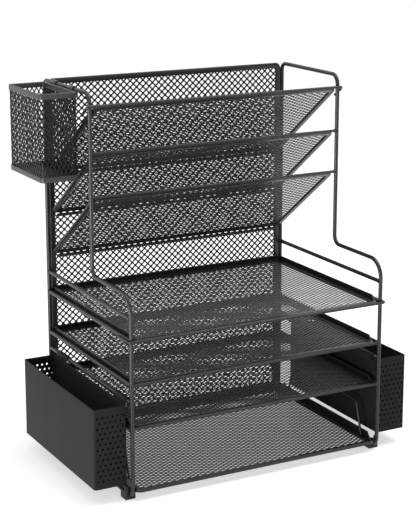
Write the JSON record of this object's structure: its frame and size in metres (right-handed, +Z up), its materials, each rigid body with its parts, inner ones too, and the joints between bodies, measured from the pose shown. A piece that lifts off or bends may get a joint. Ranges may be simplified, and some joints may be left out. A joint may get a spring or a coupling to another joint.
{
  "type": "envelope sorter with drawer",
  "caption": "Desk sorter in wire and expanded mesh: sloped envelope pockets over letter trays and a pull-out drawer, with hang-on pen boxes at both sides and a pen cup.",
  "frame": {"origin": "on the desk, midway between the four feet", "axes": "+X to the right seen from the front, +Y towards the back panel, +Z up"},
  "size_m": [0.4375, 0.2487, 0.4667],
  "materials": {
    "wire_steel": "satin black powder coat",
    "mesh_steel": "satin black powder coat",
    "sheet_steel": "fine satin charcoal powder coat",
    "foot_plastic": "matte black"
  },
  "bodies": {
    "frame": {"left_side_frame": "wire_steel", "right_side_frame": "wire_steel", "left_guard_wire": "wire_steel", "right_guard_wire": "wire_steel", "left_tray_rails": "wire_steel", "right_tray_rails": "wire_steel", "left_accessory_rail": "wire_steel", "right_accessory_rail": "wire_steel", "left_drawer_runner": "wire_steel", "right_drawer_runner": "wire_steel", "left_front_foot": "foot_plastic", "left_rear_foot": "foot_plastic", "right_front_foot": "foot_plastic", "right_rear_foot": "foot_plastic", "back_panel_frame": "wire_steel", "back_panel_mesh": "mesh_steel", "tray_1_rim": "wire_steel", "tray_1_mesh": "mesh_steel", "tray_1_front_wire": "wire_steel", "tray_2_rim": "wire_steel", "tray_2_mesh": "mesh_steel", "tray_2_front_wire": "wire_steel", "tray_3_rim": "wire_steel", "tray_3_mesh": "mesh_steel", "tray_3_front_wire": "wire_steel", "pocket_1_rim": "wire_steel", "pocket_1_mesh": "mesh_steel", "pocket_1_front_wire": "wire_steel", "pocket_1_base_rail": "wire_steel", "pocket_2_rim": "wire_steel", "pocket_2_mesh": "mesh_steel", "pocket_2_front_wire": "wire_steel", "pocket_2_base_rail": "wire_steel", "pocket_3_rim": "wire_steel", "pocket_3_mesh": "mesh_steel", "pocket_3_front_wire": "wire_steel", "pocket_3_base_rail": "wire_steel"},
    "drawer": {"drawer_rim": "wire_steel", "drawer_mesh": "mesh_steel", "drawer_front_lip": "wire_steel", "drawer_left_guard": "wire_steel", "drawer_right_guard": "wire_steel"},
    "left_pen_box": {"left_box_shell": "sheet_steel", "left_box_hooks": "sheet_steel"},
    "right_pen_box": {"right_box_shell": "sheet_steel", "right_box_hooks": "sheet_steel"},
    "pen_cup": {"cup_mesh": "mesh_steel", "cup_top_band": "wire_steel", "cup_base": "wire_steel", "cup_hooks": "wire_steel"}
  },
  "joints": [
    {"name": "drawer_slide", "type": "slide", "parent": "frame", "child": "drawer", "axis": [0, -1, 0], "range_m": [0, 0.18]},
    {"name": "left_pen_box_lift", "type": "slide", "parent": "frame", "child": "left_pen_box", "axis": [0, 0, 1], "range_m": [0, 0.014]},
    {"name": "right_pen_box_lift", "type": "slide", "parent": "frame", "child": "right_pen_box", "axis": [0, 0, 1], "range_m": [0, 0.014]},
    {"name": "pen_cup_lift", "type": "slide", "parent": "frame", "child": "pen_cup", "axis": [0, 0, 1], "range_m": [0, 0.02]}
  ]
}
